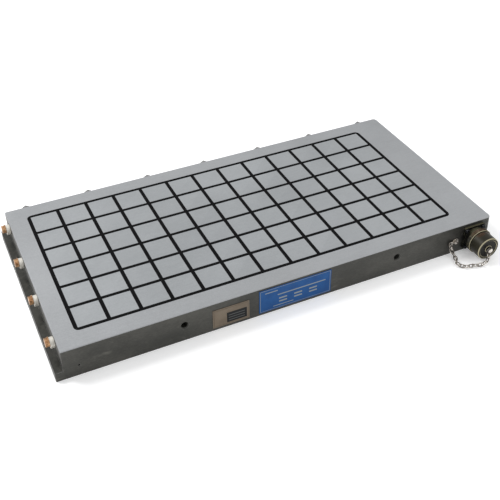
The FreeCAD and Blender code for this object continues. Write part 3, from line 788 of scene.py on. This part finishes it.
def add_dust_cap():
    """Cap turned from bar, with a knurled band round its mouth and a dished face."""
    body = CAP_BODY_RADIUS
    dish = CAP_LENGTH - CAP_DISH_DEPTH
    floor = CAP_LENGTH - CAP_FACE_THICKNESS
    profile = [
        (0.0, CAP_BORE_RADIUS + 0.4 * MM),
        (0.0, RIM_RADIUS - RIM_EDGE_IN),
        (RIM_EDGE_ALONG, RIM_RADIUS),
        (RIM_LENGTH - RIM_EDGE_ALONG, RIM_RADIUS),
        (RIM_LENGTH, RIM_RADIUS - RIM_EDGE_IN),
        (RIM_LENGTH + 0.3 * MM, body - CAP_GROOVE_DEPTH),
        (RIM_LENGTH + 1.5 * MM, body - CAP_GROOVE_DEPTH),
        (RIM_LENGTH + 2.0 * MM, body),
        (CAP_LENGTH - CAP_CHAMFER, body),
        (CAP_LENGTH, body - CAP_CHAMFER),
        (CAP_LENGTH, CAP_DISH_OUTER + CAP_DISH_EDGE),
        (dish, CAP_DISH_OUTER),
        (dish, CAP_DISH_INNER),
        (CAP_LENGTH, CAP_DISH_INNER - CAP_DISH_EDGE),
        (CAP_LENGTH, STUD_HOLE_RADIUS),
        (floor, STUD_HOLE_RADIUS),
        (floor, CAP_BORE_RADIUS),
        (CAP_BORE_LEAD_IN, CAP_BORE_RADIUS),
    ]

    def knurl(index, angle):
        if index not in KNURLED_POINTS:
            return 0.0
        return -KNURL_DEPTH * (0.5 - 0.5 * math.cos(KNURLS * angle))

    bm = bmesh.new()
    centre = Vector((CONNECTOR_X, CAP_HIGH.y, CONNECTOR_Z))
    revolve(bm, centre, OUT_FRONT, profile, KNURLS * KNURL_STEPS, knurl)
    cap = piece("dust_cap_knurled", bm, "olive_cap", "dust_cap")
    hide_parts("dust_cap")


# ---- Screws --------------------------------------------------------------------------
FLANGE_SCREW_RADIUS = 2.75 * MM
FLANGE_SCREW_HEIGHT = 3.0 * MM
FLANGE_SCREW_KEY = 2.5 * MM
FLANGE_SCREW_OFFSET = 13.2 * MM
SCREW_EDGE = 0.35 * MM
SCREW_SEGMENTS = 36
SOCKET_FLOOR_SHARE = 0.45       # of the head's height


def socket_reach(angle):
    """Radius of a hexagonal socket, with a corner at angle 0."""
    folded = (angle + math.pi / 6) % (math.pi / 3) - math.pi / 6
    return FLANGE_SCREW_KEY / 2 / math.cos(math.pi / 6 - abs(folded))


def socket_screw(bm, seat):
    """Cylindrical head with a chamfered top edge and a hexagonal socket."""
    axes = axes_for(OUT_FRONT)
    radius, height = FLANGE_SCREW_RADIUS, FLANGE_SCREW_HEIGHT
    loops = []
    for along, reach in (
        (0.0, lambda angle: radius),
        (height - SCREW_EDGE, lambda angle: radius),
        (height, lambda angle: radius - SCREW_EDGE),
        (height, socket_reach),
        (height * SOCKET_FLOOR_SHARE, socket_reach),
    ):
        loops.append(loop_around(bm, seat + OUT_FRONT * along, axes, SCREW_SEGMENTS, reach))
    for near, far in zip(loops, loops[1:]):
        skin(bm, near, far)
    bm.faces.new(loops[0])
    bm.faces.new(loops[-1])


def add_flange_screws():
    bm = bmesh.new()
    for side in (-1, 1):
        for level in (-1, 1):
            x = CONNECTOR_X + side * FLANGE_SCREW_OFFSET
            z = CONNECTOR_Z + level * FLANGE_SCREW_OFFSET
            socket_screw(bm, Vector((x, FLANGE_FRONT, z)))
    piece("flange_screws", bm, "black_oxide", "chuck")


# ---- Studio --------------------------------------------------------------------------
FLOOR_SIZE = 12.0
WORLD_COLOUR = (0.985, 0.99, 1.0, 1.0)
WORLD_STRENGTH = 0.68
LIGHTS = [
    {"name": "key", "place": (-1.1, 0.8, 1.6), "size": 0.8, "power": 24.0},
    {"name": "fill", "place": (0.9, -0.4, 1.6), "size": 1.6, "power": 6.0},
]


def add_floor():
    bm = bmesh.new()
    bmesh.ops.create_grid(bm, x_segments=1, y_segments=1, size=FLOOR_SIZE / 2)
    mesh = bpy.data.meshes.new("floor")
    bm.to_mesh(mesh)
    bm.free()
    mesh.materials.append(floor_finish())
    floor = bpy.data.objects.new("floor", mesh)
    floor.location = (0, 0, CAD_BOX[0][2])
    bpy.context.scene.collection.objects.link(floor)


def add_light(name, place, size, power):
    """Round soft light aimed at the origin."""
    data = bpy.data.lights.new(name, "AREA")
    data.shape = "DISK"
    data.size = size
    data.energy = power
    light = bpy.data.objects.new(name, data)
    light.location = place
    light.rotation_euler = (-Vector(place)).to_track_quat("-Z", "Y").to_euler()
    bpy.context.scene.collection.objects.link(light)


def add_studio():
    world = bpy.data.worlds.new("studio")
    world.use_nodes = True
    background = world.node_tree.nodes["Background"]
    background.inputs["Color"].default_value = WORLD_COLOUR
    background.inputs["Strength"].default_value = WORLD_STRENGTH
    bpy.context.scene.world = world
    bpy.context.scene.view_settings.view_transform = "Standard"
    add_floor()
    for light in LIGHTS:
        add_light(**light)


add_camera()
dress_cad_nodes()
add_chain()
add_end_ring()
add_dust_cap()
add_flange_screws()
add_studio()
